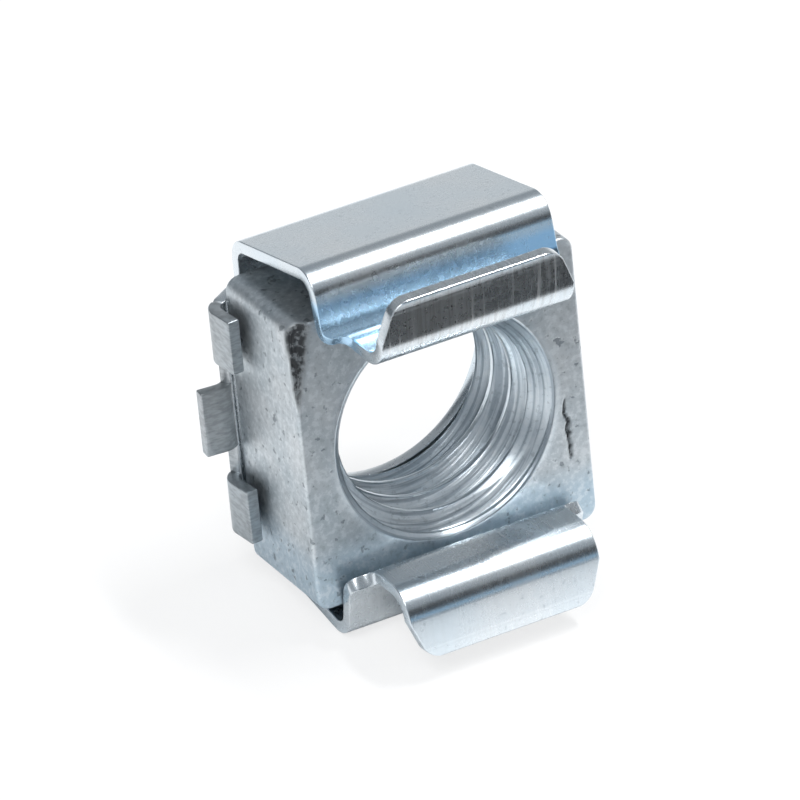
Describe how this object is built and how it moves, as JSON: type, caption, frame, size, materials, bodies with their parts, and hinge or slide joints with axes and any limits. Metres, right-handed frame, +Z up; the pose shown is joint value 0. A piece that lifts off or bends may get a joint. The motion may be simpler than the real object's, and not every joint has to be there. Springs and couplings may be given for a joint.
{
  "type": "cage nut",
  "caption": "Square threaded nut held loosely in a folded spring-steel cage with hooked lugs above and below and sprung wings at the sides.",
  "frame": {"origin": "on the thread's axis, in the middle of the nut", "axes": "+Z up as the part stands on its level lower leg, +X across the cage; the bolt enters from the front, along +Y and 10.5 degrees downward, so the thread's axis points out of the front towards -Y and a little up"},
  "size_m": [0.0162, 0.0134, 0.017],
  "materials": {
    "cage_steel": "bright zinc plated spring steel with a faint blue cast, lightly scratched on the lugs",
    "nut_steel": "bright zinc plated steel, faintly pitted, sheared rough at one corner"
  },
  "bodies": {
    "root": {"cage": "cage_steel", "nut": "nut_steel"}
  },
  "joints": []
}
